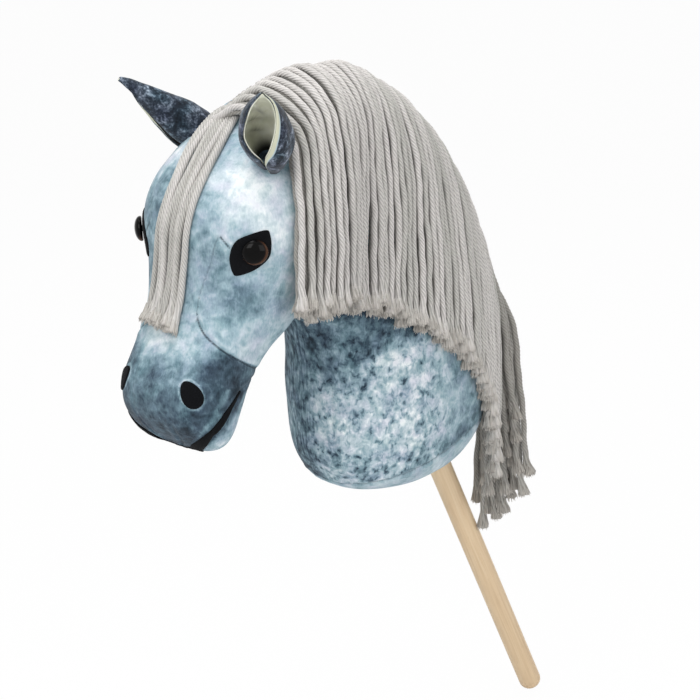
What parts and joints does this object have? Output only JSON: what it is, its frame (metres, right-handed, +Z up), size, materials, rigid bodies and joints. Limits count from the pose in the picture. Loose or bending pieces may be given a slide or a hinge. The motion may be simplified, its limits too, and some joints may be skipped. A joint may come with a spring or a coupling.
{
  "type": "hobby horse",
  "caption": "Stuffed plush horse head and neck with a cord mane and forelock, soft ears, plastic eyes and felt mouth and nostrils, on a round wooden stick.",
  "frame": {"origin": "centre of the flat at the foot of the stick", "axes": "+Z up, the horse looks along -Y, and its left side is +X"},
  "size_m": [0.1938, 0.6102, 0.7803],
  "materials": {
    "wood": "smooth sanded pale wood",
    "sleeve": "stiff woven sleeve",
    "stuffing": "polyester fibre filling",
    "plush": "short blue-grey dappled plush",
    "plush_dark": "short dark blue-grey plush",
    "plush_pale": "short pale plush",
    "ear_lining": "cream cloth",
    "felt": "black felt",
    "eye": "glossy dark brown plastic",
    "washer": "white plastic",
    "cord": "twisted soft cord with frayed ends",
    "tape": "woven cotton tape"
  },
  "bodies": {
    "stick": {"stick": "wood"},
    "head": {"stick_sleeve": "sleeve", "head_stuffing": "stuffing", "neck_stuffing": "stuffing", "face_gusset": "plush", "jaw_gusset": "plush_pale", "cheek_panel_left": "plush", "cheek_panel_right": "plush", "muzzle_panel_left": "plush", "muzzle_panel_right": "plush", "throat_gusset": "plush", "base_panel": "plush_pale", "neck_panel_left": "plush", "neck_panel_right": "plush", "eye_felt_left": "felt", "eye_felt_right": "felt", "eye_left": "eye", "eye_right": "eye", "eye_washer_left": "washer", "eye_washer_right": "washer", "nostril_left": "felt", "nostril_right": "felt", "mouth": "felt", "mane_tape": "tape", "forelock": "cord", "mane_lock_01": "cord", "mane_lock_02": "cord", "mane_lock_03": "cord", "mane_lock_04": "cord", "mane_lock_05": "cord", "mane_lock_06": "cord", "mane_lock_07": "cord", "mane_lock_08": "cord", "mane_lock_09": "cord", "mane_lock_10": "cord", "mane_lock_11": "cord", "mane_lock_12": "cord", "mane_tail_1": "cord", "mane_tail_2": "cord", "mane_tail_3": "cord"},
    "ear_left": {"ear_left": "plush_dark", "ear_lining_left": "ear_lining"},
    "ear_right": {"ear_right": "plush_dark", "ear_lining_right": "ear_lining"}
  },
  "joints": [
    {"name": "head_slide", "type": "slide", "parent": "stick", "child": "head", "axis": [0, -0.4894, 0.8721], "range_m": [0, 0.18]},
    {"name": "ear_hinge_left", "type": "hinge", "parent": "head", "child": "ear_left", "pos_m": [0.05648, -0.49767, 0.70313], "axis": [0.5641, 0.7521, 0.3408], "range_deg": [-9, 9], "stiffness_Nm_per_rad": 0.05},
    {"name": "ear_hinge_right", "type": "hinge", "parent": "head", "child": "ear_right", "pos_m": [-0.05648, -0.49767, 0.70313], "axis": [0.5641, -0.7521, -0.3408], "range_deg": [-9, 9], "stiffness_Nm_per_rad": 0.05}
  ]
}
